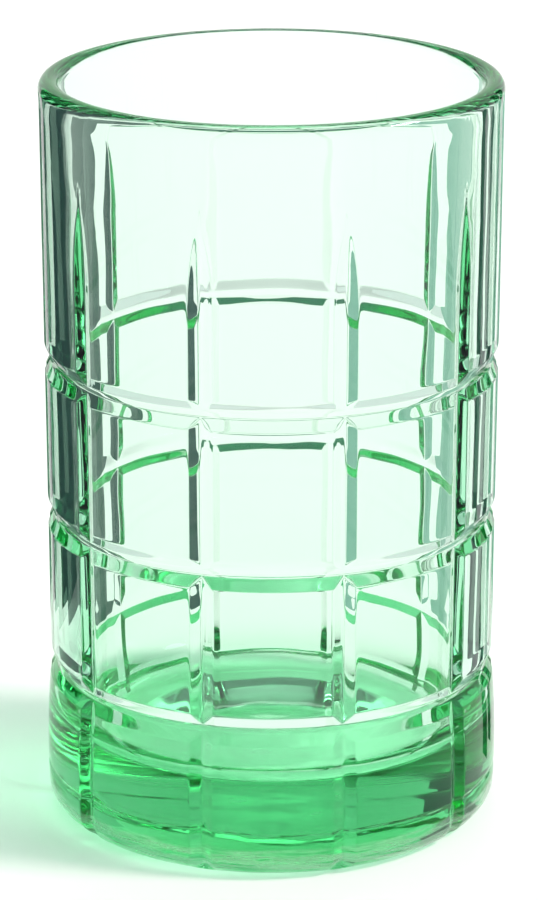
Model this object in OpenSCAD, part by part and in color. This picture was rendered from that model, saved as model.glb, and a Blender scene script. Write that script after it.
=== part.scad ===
// Juice glass: one heavy piece of pressed, green-tinted glass.
// A grid of narrow grooves divides the outside into raised panels.
// Millimetres, +Z up, origin on the axis at the surface the glass stands on.

/* [Glass] */
// Height from the foot to the top of the rim
glass_h = 105; // [90:1:125]
// Outside diameter of the rim
rim_d = 63.5; // [58:0.5:72]
// Width the outer wall loses on the radius from the rim down to the foot
wall_draft = 0.5; // [0.2:0.1:1.5]

/* [Rim] */
// Diameter of the round bead that forms the rim
bead_d = 3.3; // [2.8:0.1:4]
// Height by which the bead stands out from the wall
bead_proud = 0.1; // [0.1:0.05:0.5]

/* [Cavity] */
// Amount by which the bore trims the inner side of the bead
bead_trim = 0.1; // [0.05:0.05:0.3]
// Thickness of the wall where it reaches the cavity floor
wall_low_t = 4; // [3:0.1:5]
// Thickness of the solid base at the middle of the cavity floor
base_t = 11.5; // [8:0.5:14]
// Radius of the corner between the cavity floor and the wall
corner_r = 5; // [3:0.5:8]
// Rise of the dished cavity floor from its middle to its corner
dish_rise = 0.6; // [0.3:0.1:1.2]

/* [Panels] */
// Number of panels around the glass
columns = 10; // [6:1:14]
// Number of ring grooves
rings = 3; // [1:1:3]
// Height of the lowest ring groove
ring_z = 21.5; // [19:0.1:24]
// Distance from one ring groove to the next
ring_pitch = 22.2; // [18:0.1:24]
// Width of an upright groove across its lips
column_w = 3.2; // [2.6:0.1:4.5]
// Depth of the upright grooves
column_depth = 0.75; // [0.5:0.05:0.8]
// Width of a ring groove across its lips
ring_w = 4.2; // [3.6:0.1:5]
// Depth of the ring grooves
ring_depth = 0.85; // [0.85:0.05:1.1]
// Distance from the rim down to the tip where an upright groove fades out
tip_drop = 12.5; // [10:0.5:18]
// Length over which an upright groove fades out
fade_l = 12.5; // [6:0.5:14]
// Turn of the panels about the axis, in degrees
panel_turn = 0.3; // [-18:0.1:18]

/* [Base] */
// Largest diameter of the bulging lowest row
belly_d = 63.9; // [62:0.1:73]
// Height of that largest diameter
belly_z = 8.5; // [6:0.5:10]
// Radius of the heel between the lowest row and the foot
heel_r = 3.6; // [2:0.1:4]
// Width of the flat ring that the glass stands on
foot_ring_w = 4.5; // [3:0.5:7]
// Rise of the hollow underside inside that ring
underside_rise = 1.2; // [0.5:0.1:2]

/* [Hidden] */
// Colour of the tinted glass, with its opacity
glass_colour = [0.55, 0.85, 0.72, 0.6];
// Width of the narrow flat along the bottom of an upright groove, and of a ring groove
column_land = 0.3;
ring_land = 0.7;
// Width and depth of the softened lip on each side of a groove
lip_w = 0.35;
lip_depth = 0.1;
// Height of the heel's arc that the flat of the foot takes away
foot_cut = 0.1;
// Amount by which neighbouring arcs cross, where they would otherwise only touch
arc_overlap = 0.03;
// Length by which the two runs of an upright groove overlap inside the lowest ring groove
crossing_overlap = 0.2;
// Length by which every cutter runs past the glass
overrun = 2;

rim_r = rim_d / 2;
bead_r = bead_d / 2;
belly_r = belly_d / 2;
bead_x = rim_r - bead_r;
bead_z = glass_h - bead_r;
// Radius of the outer wall at height z, without its grooves
function wall_r(z) = rim_r - bead_proud - wall_draft * (glass_h - z) / glass_h;
draft_angle = atan2(wall_draft, glass_h);

// The lowest row bulges on one arc, from the lowest ring groove to below the heel
belly_rise = belly_r - wall_r(ring_z);
belly_h = ring_z - belly_z;
belly_arc_r = (belly_h * belly_h + belly_rise * belly_rise) / (2 * belly_rise);
belly_arc_x = belly_r - belly_arc_r;
function belly_arc(z) = belly_arc_x + sqrt(belly_arc_r * belly_arc_r - (z - belly_z) * (z - belly_z));

// The heel's arc, and the foot that it leaves
heel_z = heel_r - foot_cut;
heel_x = belly_arc(heel_z) - heel_r + arc_overlap;
foot_r = heel_x + sqrt(heel_r * heel_r - heel_z * heel_z);
foot_inner_r = foot_r - foot_ring_w;
hollow_r = (foot_inner_r * foot_inner_r + underside_rise * underside_rise) / (2 * underside_rise);

// The cavity: a drafted bore, a round corner and a dished floor
bore_top_r = rim_r - bead_d + bead_trim;
bore_low_r = wall_r(base_t) - wall_low_t;
bore_slope = (bore_top_r - bore_low_r) / (bead_z - base_t);
function bore_r(z) = bore_low_r + bore_slope * (z - base_t);
corner_x = bore_r(base_t + corner_r) - corner_r + arc_overlap;
corner_z = base_t + dish_rise + corner_r - arc_overlap;
dish_r = (corner_x * corner_x + dish_rise * dish_rise) / (2 * dish_rise);

// The arc on which an upright groove runs out through the wall
tip_z = glass_h - tip_drop;
straight_end = tip_z - fade_l;
fade_r = (fade_l * fade_l + column_depth * column_depth) / (2 * column_depth);
fade_angle = acos(1 - (column_depth + overrun / 2) / fade_r);
ring_heights = [for (i = [0:rings - 1]) ring_z + i * ring_pitch];

// Outline of a groove cutter: x points out of the glass from the panel's surface
module groove_outline(width, depth, land) {
    flank_w = width / 2 - lip_w;
    flank_slope = (flank_w - land / 2) / (depth - lip_depth);
    outer_w = width / 2 + overrun * flank_slope;
    polygon([
        [-depth, -land / 2],
        [-lip_depth, -flank_w],
        [0, -width / 2],
        [overrun, -outer_w],
        [overrun, outer_w],
        [0, width / 2],
        [-lip_depth, flank_w],
        [-depth, land / 2]
    ]);
}

module column_outline() {
    groove_outline(column_w, column_depth, column_land);
}

// Outer form in section: drafted wall, bulging lowest row and rim bead
module outer_section() {
    polygon([[0, 0], [wall_r(0), 0], [wall_r(bead_z), bead_z], [0, bead_z]]);
    intersection() {
        translate([belly_arc_x, belly_z]) circle(r = belly_arc_r, $fn = 360);
        square([rim_d, ring_z]);
    }
    translate([bead_x, bead_z]) circle(r = bead_r, $fn = 64);
}

// Everything that the round heel leaves standing
module heel_limit() {
    square([heel_x, glass_h]);
    translate([0, heel_z]) square([rim_d, glass_h]);
    translate([heel_x, heel_z]) circle(r = heel_r, $fn = 64);
}

// The cavity in section
module cavity_section() {
    mouth_z = glass_h + overrun;
    polygon([
        [0, corner_z],
        [bore_r(corner_z), corner_z],
        [bore_r(mouth_z), mouth_z],
        [0, mouth_z]
    ]);
    translate([corner_x, corner_z]) circle(r = corner_r, $fn = 64);
    intersection() {
        translate([0, base_t + dish_r]) circle(r = dish_r, $fn = 360);
        square([corner_x, corner_z]);
    }
}

// The shallow hollow under the base, inside the ring that the glass stands on
module underside_hollow() {
    intersection() {
        translate([0, underside_rise - hollow_r]) circle(r = hollow_r, $fn = 360);
        translate([0, -underside_rise]) square([foot_r, 2 * underside_rise]);
    }
}

// The turned form, with its ring grooves. Its seam lies in the middle of a panel
module turned_glass() {
    rotate([0, 0, panel_turn + 90]) rotate_extrude($fn = 180) difference() {
        intersection() {
            outer_section();
            heel_limit();
            square([rim_d, glass_h]);
        }
        cavity_section();
        underside_hollow();
        for (z = ring_heights) translate([wall_r(z), z]) groove_outline(ring_w, ring_depth, ring_land);
    }
}

// One upright groove on the +X side: the drafted wall, the belly and the fade at the top
module column_groove() {
    run_l = straight_end - ring_z;
    translate([wall_r(ring_z), 0, ring_z]) rotate([0, draft_angle, 0]) {
        translate([0, 0, -crossing_overlap]) linear_extrude(height = run_l + crossing_overlap)
            column_outline();
        translate([fade_r - column_depth, 0, run_l]) rotate([90, 0, 0])
            rotate_extrude(angle = fade_angle, start = 180 - fade_angle, $fn = 720)
                translate([fade_r - column_depth, 0]) mirror([1, 0]) column_outline();
    }
    low_angle = asin((belly_z + overrun) / belly_arc_r);
    top_angle = asin(belly_h / belly_arc_r);
    translate([belly_arc_x, 0, belly_z]) rotate([90, 0, 0])
        rotate_extrude(angle = low_angle + top_angle, start = -low_angle, $fn = 720)
            translate([belly_arc_r, 0]) column_outline();
}

// The glass: one pressed piece
module tumbler() {
    color(glass_colour) difference() {
        turned_glass();
        for (i = [0:columns - 1])
            rotate([0, 0, panel_turn - 90 + (i + 0.5) * 360 / columns]) column_groove();
    }
}

tumbler();
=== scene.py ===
import math

import bpy
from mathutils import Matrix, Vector


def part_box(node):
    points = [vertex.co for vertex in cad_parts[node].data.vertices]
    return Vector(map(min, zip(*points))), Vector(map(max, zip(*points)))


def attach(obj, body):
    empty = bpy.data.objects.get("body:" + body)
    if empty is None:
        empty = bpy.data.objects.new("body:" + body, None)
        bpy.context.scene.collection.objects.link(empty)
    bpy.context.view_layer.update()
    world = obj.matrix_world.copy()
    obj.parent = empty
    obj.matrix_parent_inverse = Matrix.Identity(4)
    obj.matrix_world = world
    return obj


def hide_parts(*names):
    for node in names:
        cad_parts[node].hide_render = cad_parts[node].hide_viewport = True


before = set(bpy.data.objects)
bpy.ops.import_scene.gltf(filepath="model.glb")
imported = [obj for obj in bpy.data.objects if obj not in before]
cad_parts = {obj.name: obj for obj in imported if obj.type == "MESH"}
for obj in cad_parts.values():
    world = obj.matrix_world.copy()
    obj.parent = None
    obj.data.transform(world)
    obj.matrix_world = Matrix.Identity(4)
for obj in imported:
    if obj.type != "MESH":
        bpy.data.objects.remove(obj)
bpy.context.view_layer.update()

MM = 0.001
UP = math.pi / 2

# Sizes of the glass, its height from the frame
NODE_LOW, NODE_HIGH = (Vector(corner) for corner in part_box("tumbler"))
GLASS_H = NODE_HIGH.z - NODE_LOW.z
RIM_R = 31.75 * MM
WALL_DRAFT = 0.5 * MM
BEAD_R = 1.65 * MM
BEAD_PROUD = 0.1 * MM
BEAD_TRIM = 0.1 * MM
RIM_SPREAD_H = 2.5 * MM
WALL_LOW_T = 4.0 * MM
BASE_T = 11.5 * MM
CORNER_R = 5.0 * MM
DISH_RISE = 0.6 * MM
BELLY_R = 31.95 * MM
BELLY_Z = 8.5 * MM
HEEL_R = 3.6 * MM
FOOT_RING_W = 4.5 * MM
UNDERSIDE_RISE = 1.2 * MM

# The pressed grid
COLUMNS = 10
PANEL_TURN = math.radians(0.3)
RING_Z = 21.5 * MM
RING_PITCH = 22.2 * MM
RINGS = 3
COLUMN_W = 3.1 * MM
COLUMN_LAND = 0.2 * MM
COLUMN_DEPTH = 0.75 * MM
RING_W = 4.1 * MM
RING_LAND = 0.7 * MM
RING_DEPTH = 0.85 * MM
TIP_Z = GLASS_H - 12.5 * MM
FADE_L = 12.5 * MM
GROOVE_FOOT_H = 0.3 * MM
FLOOR_SOFTNESS = 0.1 * MM
LIP_SOFTNESS = 0.05 * MM
CROSSING_SOFTNESS = 0.08 * MM
# Only what lies farther out than this inset from the wall's middle is pressed
MIDDLE_INSET = 0.6 * MM

# Waviness from the mould, and the line of flow marks round the heel
WAVE_DEPTH = 0.06 * MM
WAVE_SIZE = 8.0 * MM
MARK_Z = 6.4 * MM
MARK_H = 0.7 * MM
MARK_DEPTH = 0.5 * MM
MARK_SIZE = 1.6 * MM
MARK_STRETCH = (1.0, 1.0, 2.5)
BEND_SCALE = 60.0
BEND_H = 2.0 * MM

# Rows of the mesh over each stretch of the section
HOLLOW_ROWS = 8
FOOT_ROWS = 6
HEEL_ROWS = 14
LOW_BELLY_ROWS = 3
MARK_ROWS = 9
BELLY_ROWS = 8
RIM_ROWS = 20
BORE_ROWS = 28
CORNER_ROWS = 14
DISH_ROWS = 8
PANEL_ROW_GAP = 1.7 * MM
PANEL_STEPS = 6
# Share of their full spread that the lines beside an upright groove keep above its tip
NARROWEST_SHARE = 0.22
# Distances from a groove's middle at which the mesh has a line, finest over its floor and its lips
COLUMN_LINES = [
    d * MM for d in (0, 0.07, 0.14, 0.22, 0.35, 0.6, 0.9, 1.2, 1.38, 1.48, 1.56, 1.64, 1.75, 1.95, 2.3)
]
RING_LINES = [
    d * MM for d in (0, 0.18, 0.32, 0.42, 0.54, 0.75, 1.1, 1.5, 1.8, 1.96, 2.06, 2.16, 2.3, 2.5, 2.8)
]

# The glass as a material, tinted in the mass
GLASS_IOR = 1.52
GLASS_COLOUR = (0.0, 0.79, 0.36)
GLASS_DENSITY = 40.5
# Dims the plain reflections, as in a room that is dark in front of the glass
REFLECTION_TINT = (0.25, 0.3, 0.32)
# The frost of fine lines on the heel
FROST_Z = 2.6 * MM
FROST_HALF_H = 2.2 * MM
FROST_STRETCH = (1.0, 1.0, 12.0)
FROST_SCALE = 160.0
FROST_DETAIL = 2.0
FROST_FLOOR = 0.35
FROST_ROUGHNESS = 1.6
FROST_COAT = 8.0
COAT_ROUGHNESS = 0.25
COAT_IOR = 2.2
# Tint of the light that falls through the glass to the floor
SHADE_TINT = (0.47, 0.66, 0.56)

# The floor, just below the foot
FLOOR_Z = -0.05 * MM
FLOOR_REACH = 3.0
FLOOR_COLOUR = (0.9, 0.9, 0.9)
MATT = 0.9

# Dark and green cards beside the glass and behind it, hidden from the camera, that show in the glass alone:
# painted dark reflections at its edges and painted green streaks at its right.
# Side, near end and far end as places in millimetres, height from and to, colour
DARK_REFLECTION_COLOUR = (0.015, 0.04, 0.045)
REFLECTED_UPRIGHTS = [
    (-1, (42, 8), (75, 8.5), 20, 112, DARK_REFLECTION_COLOUR),
    (-1, (42, 16), (52, 16.3), 20, 112, DARK_REFLECTION_COLOUR),
    (-1, (33.3, 42), (54, 66), 8, 90, (0.01, 0.06, 0.05)),
    (1, (42, 8), (47, 8.1), 0, 112, DARK_REFLECTION_COLOUR),
    (1, (54, 8.2), (60, 8.3), 30, 112, (0.05, 0.3, 0.13)),
    (1, (42, 16), (46, 16.1), 0, 112, DARK_REFLECTION_COLOUR),
    (1, (33.3, 42), (54, 66), 8, 90, (0.15, 0.3, 0.25)),
]
# Slanting dark cards behind the glass that face up, seen only in the glass: they give the ring grooves at
# its back their dark lines, as painted reflections.
# Half width, near edge and far edge, each edge as its distance behind the axis and its height
DARK_LINE_REFLECTION_COLOUR = (0.01, 0.1, 0.06)
SLANTING = [
    (45, (45, 38), (88, 18)),
    (45, (42, 24), (60, 15.6)),
]
# A large dark card farther off, behind the glass and to the left, seen only in the glass as a painted dark
# reflection
STANDING_ENDS = ((-0.30, 0.52), (-0.6, 0.35))
STANDING_LOW = 0.04
STANDING_HIGH = 0.5
FAR_REFLECTION_COLOUR = (0.05, 0.06, 0.075)

# Sky: bright low down, dimmer overhead, with a soft change between the two
SKY_COLOUR = (0.97, 1.0, 1.0)
SKY = 0.87
ZENITH = 0.3
SKY_CHANGE = (0.5, 0.75)

# Lights: the key from high on the right, a weak one overhead, and a weak one for the floor behind the glass
KEY_AT = (2.7, -0.45, 2.4)
KEY_SIZE = 0.9
KEY_POWER = 128
KEY_COLOUR = (1.0, 1.0, 0.94)
TOP_AT = (0.05, 0.1, 0.9)
TOP_SIZE = 0.6
TOP_POWER = 0.6
BEHIND_AT = (0, 1.1, 0.9)
BEHIND_AIM = (0, 0.5, 0)
BEHIND_SIZE = 0.6
BEHIND_POWER = 0.5
BEHIND_SPREAD = math.radians(80)
MAX_BOUNCES = 32
GLOSSY_BOUNCES = 16

# Camera, fitted to the photograph
CAMERA_DISTANCE = 534.0 * MM
CAMERA_ELEVATION = math.radians(18.0)
CAMERA_PITCH = math.radians(18.11)
CAMERA_ASIDE = -0.35 * MM
LENS = 101.9
SENSOR_H = 24.0


class Net:
    """A node tree that is written as expressions on its sockets."""

    def __init__(self, tree):
        self.tree = tree

    def node(self, kind, values=(), **settings):
        """Adds a node: settings first, then values or links for its inputs by name or number."""
        n = self.tree.nodes.new(kind)
        for name, value in settings.items():
            setattr(n, name, value)
        for key, value in dict(values).items():
            if isinstance(value, Wire):
                self.tree.links.new(value.socket, n.inputs[key])
            else:
                n.inputs[key].default_value = value
        return Wire(self, n.outputs[0]) if n.outputs else n

    def maths(self, operation, *values):
        return self.node("ShaderNodeMath", dict(enumerate(values)), operation=operation)


class Wire:
    """An output socket that adds Math nodes when it is used in a sum."""

    def __init__(self, net, socket):
        self.net = net
        self.socket = socket

    def __getitem__(self, name):
        return Wire(self.net, self.socket.node.outputs[name])

    def __add__(self, other):
        return self.net.maths("ADD", self, other)

    def __sub__(self, other):
        return self.net.maths("SUBTRACT", self, other)

    def __rsub__(self, other):
        return self.net.maths("SUBTRACT", other, self)

    def __mul__(self, other):
        return self.net.maths("MULTIPLY", self, other)

    def __truediv__(self, other):
        return self.net.maths("DIVIDE", self, other)

    def __rtruediv__(self, other):
        return self.net.maths("DIVIDE", other, self)

    def __abs__(self):
        return self.net.maths("ABSOLUTE", self)

    __radd__ = __add__
    __rmul__ = __mul__


def soft_share(net, value, low, high):
    """Rises softly from 0 at the low value to 1 at the high one."""
    ends = {"Value": value, "From Min": low, "From Max": high}
    return net.node("ShaderNodeMapRange", ends, interpolation_type="SMOOTHSTEP")


def noise(net, place, scale, detail):
    return net.node("ShaderNodeTexNoise", {"Vector": place, "Scale": scale, "Detail": detail})["Fac"]


def stretched(net, place, stretch):
    return net.node("ShaderNodeVectorMath", {0: place, 1: stretch}, operation="MULTIPLY")


# The glass in section

def wall_r(z):
    """Radius of the drafted wall, without its grooves."""
    return RIM_R - BEAD_PROUD - WALL_DRAFT * (GLASS_H - z) / GLASS_H


BEAD_Z = GLASS_H - BEAD_R
BORE_TOP_R = RIM_R - 2 * BEAD_R + BEAD_TRIM
BORE_LOW_R = wall_r(BASE_T) - WALL_LOW_T
CORNER_Z = BASE_T + DISH_RISE + CORNER_R
BELLY_RISE = BELLY_R - wall_r(RING_Z)
BELLY_ARC_R = ((RING_Z - BELLY_Z) ** 2 + BELLY_RISE ** 2) / (2 * BELLY_RISE)
BELLY_ARC_X = BELLY_R - BELLY_ARC_R
HEEL_X = BELLY_ARC_X + math.sqrt((BELLY_ARC_R - HEEL_R) ** 2 - (BELLY_Z - HEEL_R) ** 2)
HEEL_TOP_ANGLE = math.atan2(HEEL_R - BELLY_Z, HEEL_X - BELLY_ARC_X)
FOOT_INNER_R = HEEL_X - FOOT_RING_W


def rim_r(z):
    """The wall widens softly into the rim, up to where the rim's round edge starts."""
    share = min(1.0, max(0.0, (z - BEAD_Z + RIM_SPREAD_H) / RIM_SPREAD_H))
    spread = share * share * (3 - 2 * share)
    return wall_r(z) + (RIM_R - wall_r(z)) * spread


def belly_arc(z):
    """Radius of the bulging lowest row."""
    return BELLY_ARC_X + math.sqrt(BELLY_ARC_R ** 2 - (z - BELLY_Z) ** 2)


def bore_r(z):
    """Radius of the drafted bore."""
    return BORE_LOW_R + (BORE_TOP_R - BORE_LOW_R) * (z - BASE_T) / (BEAD_Z - BASE_T)


def steps(low, high, count):
    """count + 1 even places from low to high."""
    return [low + (high - low) * i / count for i in range(count + 1)]


def arc(x, z, radius, start, end, count):
    return [(x + radius * math.cos(a), z + radius * math.sin(a)) for a in steps(start, end, count)]


def rows_between(low, high, gap):
    """Heights between two ring grooves, clear of the lines that the grooves have of their own."""
    low, high = low + RING_LINES[-1], high - RING_LINES[-1]
    count = max(2, round((high - low) / gap))
    return steps(low, high, count)[1:-1]


def outside_heights():
    """Heights of the mesh's rows from the heel to the rim, finest at the flow marks and the ring grooves."""
    ring_heights = [RING_Z + i * RING_PITCH for i in range(RINGS)]
    heel_top = HEEL_R + HEEL_R * math.sin(HEEL_TOP_ANGLE)
    heights = steps(heel_top, MARK_Z - MARK_H, LOW_BELLY_ROWS)[1:-1]
    heights += steps(MARK_Z - MARK_H, MARK_Z + MARK_H, MARK_ROWS)
    heights += steps(MARK_Z + MARK_H, ring_heights[0] - RING_LINES[-1], BELLY_ROWS)[1:-1]
    for z, above in zip(ring_heights, ring_heights[1:] + [BEAD_Z + RING_LINES[-1]]):
        heights += [z - d for d in reversed(RING_LINES[1:])] + [z + d for d in RING_LINES]
        heights += rows_between(z, above, PANEL_ROW_GAP)
    return heights


def section():
    """The section as (radius, height), from the underside's middle round to the cavity floor's middle."""
    hollow_r = (FOOT_INNER_R ** 2 + UNDERSIDE_RISE ** 2) / (2 * UNDERSIDE_RISE)
    hollow_half = math.asin(FOOT_INNER_R / hollow_r)
    outline = arc(0, UNDERSIDE_RISE - hollow_r, hollow_r, UP, UP - hollow_half, HOLLOW_ROWS)[:-1]
    outline += [(r, 0.0) for r in steps(FOOT_INNER_R, HEEL_X, FOOT_ROWS)[:-1]]
    outline += arc(HEEL_X, HEEL_R, HEEL_R, -UP, HEEL_TOP_ANGLE, HEEL_ROWS)
    outline += [(belly_arc(z) if z < RING_Z else rim_r(z), z) for z in outside_heights()]
    rim_middle_r = (RIM_R + BORE_TOP_R) / 2
    rim_half_w = (RIM_R - BORE_TOP_R) / 2
    for a in steps(0, math.pi, RIM_ROWS):
        outline.append((rim_middle_r + rim_half_w * math.cos(a), BEAD_Z + BEAD_R * math.sin(a)))
    outline += [(bore_r(z), z) for z in steps(BEAD_Z, CORNER_Z, BORE_ROWS)[1:-1]]
    corner_x = bore_r(CORNER_Z) - CORNER_R
    outline += arc(corner_x, CORNER_Z, CORNER_R, 0, -UP, CORNER_ROWS)
    dish_r = (corner_x ** 2 + DISH_RISE ** 2) / (2 * DISH_RISE)
    dish_half = math.asin(corner_x / dish_r)
    outline += arc(0, BASE_T + dish_r, dish_r, -UP + dish_half, -UP, DISH_ROWS)[1:]
    return outline


def fade_share(z):
    """Share of its full depth that an upright groove still has at height z."""
    past = max(0.0, z - (TIP_Z - FADE_L))
    return max(0.0, 1 - (past / FADE_L) ** 2)


def column_angles(share):
    """Angles of the mesh's upright lines, drawn together with the grooves where these grow narrow."""
    half_pitch = math.pi / COLUMNS
    near = [d * share / RIM_R for d in COLUMN_LINES]
    far = steps(near[-1], half_pitch, PANEL_STEPS)[1:]
    half = near + far
    angles = []
    for i in range(COLUMNS):
        middle = PANEL_TURN - UP + (i + 0.5) * 2 * half_pitch
        angles += [middle - a for a in reversed(half[1:-1])] + [middle + a for a in half]
    return angles


def turned_blank():
    """The smooth turned form as a closed mesh, with its lines where the grooves will be pressed."""
    outline = section()
    verts = [(0, 0, outline[0][1])]
    for r, z in outline[1:-1]:
        angles = column_angles(max(NARROWEST_SHARE, fade_share(z)))
        verts += [(r * math.cos(a), r * math.sin(a), z) for a in angles]
    verts.append((0, 0, outline[-1][1]))
    around = len(column_angles(1.0))
    rows = len(outline) - 2
    faces = [(0, 1 + (j + 1) % around, 1 + j) for j in range(around)]
    for i in range(rows - 1):
        low, high = 1 + i * around, 1 + (i + 1) * around
        for j in range(around):
            after = (j + 1) % around
            faces.append((low + j, low + after, high + after, high + j))
    last = 1 + (rows - 1) * around
    faces += [(last + j, last + (j + 1) % around, len(verts) - 1) for j in range(around)]
    mesh = bpy.data.meshes.new("tumbler_glass")
    mesh.from_pydata(verts, [], faces)
    mesh.update()
    return mesh


# Pressing the grid into the turned form

def soft_over(net, height, softness):
    """The larger of a height and 0, with the corner between them rounded."""
    return (height + net.maths("SQRT", height * height + softness * softness)) * 0.5


def groove(net, given, kind, off, depth):
    """Depth of a V groove at a distance off its middle, with a soft floor and soft lips."""
    slope = given[kind + " depth"] / ((given[kind + " width"] - given[kind + " land"]) * 0.5)
    off = soft_over(net, off - given[kind + " land"] * 0.5, given["Floor softness"])
    return soft_over(net, depth - off * slope, given["Lip softness"])


def column_depth(net, given, x, y, z):
    """Depth of the nearest upright groove, which starts softly at the foot and fades out below the rim."""
    turn = net.maths("ARCTAN2", y, x) - given["Panel turn"]
    pitch = 2 * math.pi / given["Columns"]
    across = net.maths("PINGPONG", turn + UP, pitch * 0.5)
    aside = (pitch * 0.5 - across) * given["Middle of wall"]
    past = net.maths("MAXIMUM", z - given["Fade start"], 0.0) / given["Fade length"]
    depth = given["Column depth"] * (1.0 - past * past)
    foot_share = soft_share(net, z, 0.0, given["Groove foot"])
    return groove(net, given, "Column", aside, depth) * foot_share


def ring_depth(net, given, z):
    """Depth of the nearest ring groove."""
    nearest = net.maths("ROUND", (z - given["Ring height"]) / given["Ring pitch"])
    nearest = net.maths("MINIMUM", nearest, given["Last ring"])
    nearest = net.maths("MAXIMUM", nearest, 0.0)
    above = z - given["Ring height"] - nearest * given["Ring pitch"]
    return groove(net, given, "Ring", abs(above), given["Ring depth"])


def flow_marks(net, given, place, z):
    """A broken line of small flow marks that runs round the heel, bending up and down."""
    grain = noise(net, stretched(net, place, MARK_STRETCH), 1 / given["Mark size"], 1.0)
    bend = (noise(net, place, BEND_SCALE, 0.0) - 0.5) * BEND_H
    off_mark = abs(z - given["Mark height"] + bend) / given["Mark reach"]
    return grain * given["Mark depth"] * net.maths("MAXIMUM", 1.0 - off_mark, 0.0)


def groove_tree(material):
    """Presses the grid of grooves into a turned blank, with the mould's waviness and flow marks."""
    tree = bpy.data.node_groups.new("press_grooves", "GeometryNodeTree")
    net = Net(tree)
    tree.interface.new_socket("Blank", in_out="INPUT", socket_type="NodeSocketGeometry")
    tree.interface.new_socket("Pressed", in_out="OUTPUT", socket_type="NodeSocketGeometry")
    sizes = {
        "Columns": COLUMNS,
        "Panel turn": PANEL_TURN,
        "Column width": COLUMN_W,
        "Column land": COLUMN_LAND,
        "Column depth": COLUMN_DEPTH,
        "Ring width": RING_W,
        "Ring land": RING_LAND,
        "Ring depth": RING_DEPTH,
        "Ring height": RING_Z,
        "Ring pitch": RING_PITCH,
        "Last ring": RINGS - 1,
        "Fade start": TIP_Z - FADE_L,
        "Fade length": FADE_L,
        "Groove foot": GROOVE_FOOT_H,
        "Floor softness": FLOOR_SOFTNESS,
        "Lip softness": LIP_SOFTNESS,
        "Bead height": BEAD_Z,
        "Middle of wall": (RIM_R + BORE_TOP_R) / 2 - MIDDLE_INSET,
        "Waviness": WAVE_DEPTH,
        "Wave size": WAVE_SIZE,
        "Mark depth": MARK_DEPTH,
        "Mark size": MARK_SIZE,
        "Mark height": MARK_Z,
        "Mark reach": MARK_H,
    }
    for name, value in sizes.items():
        socket = tree.interface.new_socket(name, in_out="INPUT", socket_type="NodeSocketFloat")
        socket.default_value = value
    given = net.node("NodeGroupInput")
    place = net.node("GeometryNodeInputPosition")
    xyz = net.node("ShaderNodeSeparateXYZ", {0: place})
    x, y, z = xyz["X"], xyz["Y"], xyz["Z"]

    # The outside ends at the bead
    radius = net.maths("SQRT", x * x + y * y)
    below_bead = net.maths("LESS_THAN", z, given["Bead height"])
    outside = net.maths("GREATER_THAN", radius, given["Middle of wall"]) * below_bead

    column = column_depth(net, given, x, y, z)
    ring = ring_depth(net, given, z)
    pressed = net.maths("SMOOTH_MAX", column, ring, CROSSING_SOFTNESS)

    above_foot = net.maths("GREATER_THAN", z, given["Groove foot"])
    wave = (noise(net, place, 1 / given["Wave size"], 1.0) - 1.0) * given["Waviness"] * above_foot
    wave = wave - flow_marks(net, given, place, z) * outside

    normal = net.node("GeometryNodeInputNormal")
    outward = wave - pressed * outside
    shift = net.node("ShaderNodeVectorMath", {0: normal, "Scale": outward}, operation="SCALE")
    moved = net.node("GeometryNodeSetPosition", {"Geometry": given["Blank"], "Offset": shift})
    smooth = net.node("GeometryNodeSetShadeSmooth", {"Geometry": moved, "Shade Smooth": True})
    real = net.node("GeometryNodeRealizeInstances", {"Geometry": smooth})
    dressed = net.node("GeometryNodeSetMaterial", {"Geometry": real, "Material": material})
    net.node("NodeGroupOutput", {"Pressed": dressed})
    return tree


# Materials

def tinted_glass():
    """Soda-lime glass, tinted light green in the mass, with a frost of fine lines on the heel."""
    mat = bpy.data.materials.new("tinted_glass")
    mat.use_nodes = True
    tree = mat.node_tree
    net = Net(tree)
    shader = tree.nodes["Principled BSDF"]
    shader.inputs["Base Color"].default_value = (1, 1, 1, 1)
    shader.inputs["IOR"].default_value = GLASS_IOR
    shader.inputs["Transmission Weight"].default_value = 1.0
    shader.inputs["Specular Tint"].default_value = (*REFLECTION_TINT, 1)
    shader.inputs["Coat Roughness"].default_value = COAT_ROUGHNESS
    shader.inputs["Coat IOR"].default_value = COAT_IOR

    place = net.node("ShaderNodeTexCoord")["Object"]
    height = net.node("ShaderNodeSeparateXYZ", {0: place})["Z"]
    lines = noise(net, stretched(net, place, FROST_STRETCH), FROST_SCALE, FROST_DETAIL)
    off_heel = abs(height - FROST_Z) / FROST_HALF_H
    on_heel = net.maths("MAXIMUM", 1.0 - off_heel * off_heel, 0.0)
    frost = on_heel * net.maths("MAXIMUM", lines - FROST_FLOOR, 0.0)
    tree.links.new((frost * FROST_ROUGHNESS).socket, shader.inputs["Roughness"])
    tree.links.new(net.maths("MINIMUM", frost * FROST_COAT, 1.0).socket, shader.inputs["Coat Weight"])

    absorb = tree.nodes.new("ShaderNodeVolumeAbsorption")
    absorb.inputs["Color"].default_value = (*GLASS_COLOUR, 1)
    absorb.inputs["Density"].default_value = GLASS_DENSITY
    tree.links.new(absorb.outputs[0], tree.nodes["Material Output"].inputs["Volume"])
    return mat


def matt(name, colour):
    mat = bpy.data.materials.new(name)
    mat.use_nodes = True
    shader = mat.node_tree.nodes["Principled BSDF"]
    shader.inputs["Base Color"].default_value = (*colour, 1)
    shader.inputs["Roughness"].default_value = MATT
    return mat


# The glass, and what takes its place for the light on the floor

def pressed_tumbler():
    blank = bpy.data.objects.new("tumbler_blank", turned_blank())
    bpy.context.scene.collection.objects.link(blank)
    press = blank.modifiers.new("press", "NODES")
    press.node_group = groove_tree(tinted_glass())
    bpy.context.view_layer.update()
    shown = bpy.data.meshes.new_from_object(blank.evaluated_get(bpy.context.evaluated_depsgraph_get()))
    piece = bpy.data.objects.new("tumbler_glass", shown)
    bpy.context.scene.collection.objects.link(piece)
    bpy.data.objects.remove(blank)
    return piece


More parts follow.
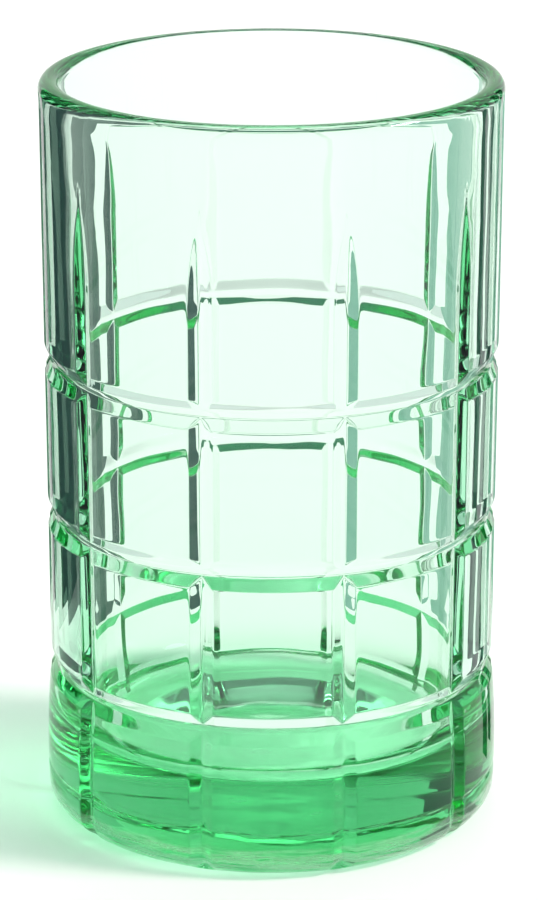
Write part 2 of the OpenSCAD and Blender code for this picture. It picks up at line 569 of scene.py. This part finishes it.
def tinted_shade(piece):
    """Takes the glass's place for the light that falls on the floor, and lets it through with a tint."""
    piece.visible_shadow = False
    shade = bpy.data.objects.new("tinted_shade", piece.data.copy())
    tint = bpy.data.materials.new("tinted_shade")
    tint.use_nodes = True
    clear = tint.node_tree.nodes.new("ShaderNodeBsdfTransparent")
    clear.inputs["Color"].default_value = (*SHADE_TINT, 1)
    tint.node_tree.links.new(clear.outputs[0], tint.node_tree.nodes["Material Output"].inputs["Surface"])
    shade.data.materials.clear()
    shade.data.materials.append(tint)
    shade.visible_camera = False
    shade.visible_diffuse = False
    shade.visible_glossy = False
    shade.visible_transmission = False
    bpy.context.scene.collection.objects.link(shade)


# Camera, cards and light

def camera():
    data = bpy.data.cameras.new("camera")
    data.sensor_fit = "VERTICAL"
    data.sensor_height = SENSOR_H
    data.lens = LENS
    obj = bpy.data.objects.new("camera", data)
    obj.location = (
        CAMERA_ASIDE,
        -CAMERA_DISTANCE * math.cos(CAMERA_ELEVATION),
        GLASS_H / 2 + CAMERA_DISTANCE * math.sin(CAMERA_ELEVATION),
    )
    obj.rotation_euler = (math.pi / 2 - CAMERA_PITCH, 0, 0)
    bpy.context.scene.collection.objects.link(obj)
    bpy.context.scene.camera = obj


def area_light(name, place, aim, size, power, colour=(1, 1, 1)):
    data = bpy.data.lights.new(name, "AREA")
    data.shape = "DISK"
    data.size = size
    data.energy = power
    data.color = colour
    obj = bpy.data.objects.new(name, data)
    obj.location = place
    obj.rotation_euler = (Vector(aim) - Vector(place)).to_track_quat("-Z", "Y").to_euler()
    bpy.context.scene.collection.objects.link(obj)
    return obj


def card(name, corners, colour):
    mesh = bpy.data.meshes.new(name)
    mesh.from_pydata(corners, [], [(0, 1, 2, 3)])
    obj = bpy.data.objects.new(name, mesh)
    obj.data.materials.append(matt(name, colour))
    bpy.context.scene.collection.objects.link(obj)
    return obj


def upright(near, far, low, high):
    """Corners of an upright card between two places on the floor."""
    return [(*near, low), (*far, low), (*far, high), (*near, high)]


def hide(dark):
    """Leaves a card to be seen only in the glass."""
    dark.visible_camera = False
    dark.visible_diffuse = False
    dark.visible_shadow = False


def one_sided(dark):
    """Hides a card, and makes it clear from behind."""
    hide(dark)
    tree = dark.data.materials[0].node_tree
    net = Net(tree)
    clear = net.node("ShaderNodeBsdfTransparent")
    behind = net.node("ShaderNodeNewGeometry")["Backfacing"]
    front = Wire(net, tree.nodes["Principled BSDF"].outputs[0])
    both = net.node("ShaderNodeMixShader", {0: behind, 1: front, 2: clear})
    tree.links.new(both.socket, tree.nodes["Material Output"].inputs["Surface"])


def floor():
    reach = FLOOR_REACH
    corners = [(-reach, -reach), (reach, -reach), (reach, reach), (-reach, reach)]
    card("floor", [(x, y, FLOOR_Z) for x, y in corners], FLOOR_COLOUR)


def painted_reflection_cards():
    """Cards that show in the glass alone as painted dark and green reflections, each card facing the
    camera's side or up.
    """
    for side, (x1, y1), (x2, y2), low, high, colour in REFLECTED_UPRIGHTS:
        near, far = [(side * x1 * MM, y1 * MM), (side * x2 * MM, y2 * MM)][::side]
        one_sided(card("reflection_card", upright(near, far, low * MM, high * MM), colour))
    for half, near, far in SLANTING:
        corners = [(-half, *near), (half, *near), (half, *far), (-half, *far)]
        corners = [(x * MM, y * MM, z * MM) for x, y, z in corners]
        one_sided(card("slanting_reflection_card", corners, DARK_LINE_REFLECTION_COLOUR))
    hide(card("standing_reflection_card", upright(*STANDING_ENDS, STANDING_LOW, STANDING_HIGH), FAR_REFLECTION_COLOUR))


def sky():
    world = bpy.data.worlds.new("studio")
    bpy.context.scene.world = world
    world.use_nodes = True
    net = Net(world.node_tree)
    height = net.node("ShaderNodeSeparateXYZ", {0: net.node("ShaderNodeTexCoord")["Generated"]})["Z"]
    strength = SKY - soft_share(net, height, *SKY_CHANGE) * (SKY - ZENITH)
    background = world.node_tree.nodes["Background"]
    background.inputs["Color"].default_value = (*SKY_COLOUR, 1)
    world.node_tree.links.new(strength.socket, background.inputs["Strength"])


def studio():
    floor()
    painted_reflection_cards()
    sky()
    area_light("key", KEY_AT, (0, 0, 0), KEY_SIZE, KEY_POWER, KEY_COLOUR)
    area_light("top", TOP_AT, (0, 0, 0), TOP_SIZE, TOP_POWER)
    behind = area_light("behind", BEHIND_AT, BEHIND_AIM, BEHIND_SIZE, BEHIND_POWER)
    behind.data.spread = BEHIND_SPREAD
    scene = bpy.context.scene
    scene.view_settings.view_transform = "Standard"
    scene.cycles.max_bounces = MAX_BOUNCES
    scene.cycles.glossy_bounces = GLOSSY_BOUNCES
    scene.cycles.transmission_bounces = MAX_BOUNCES


camera()
studio()
tumbler = pressed_tumbler()
tinted_shade(tumbler)
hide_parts("tumbler")
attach(tumbler, "root")
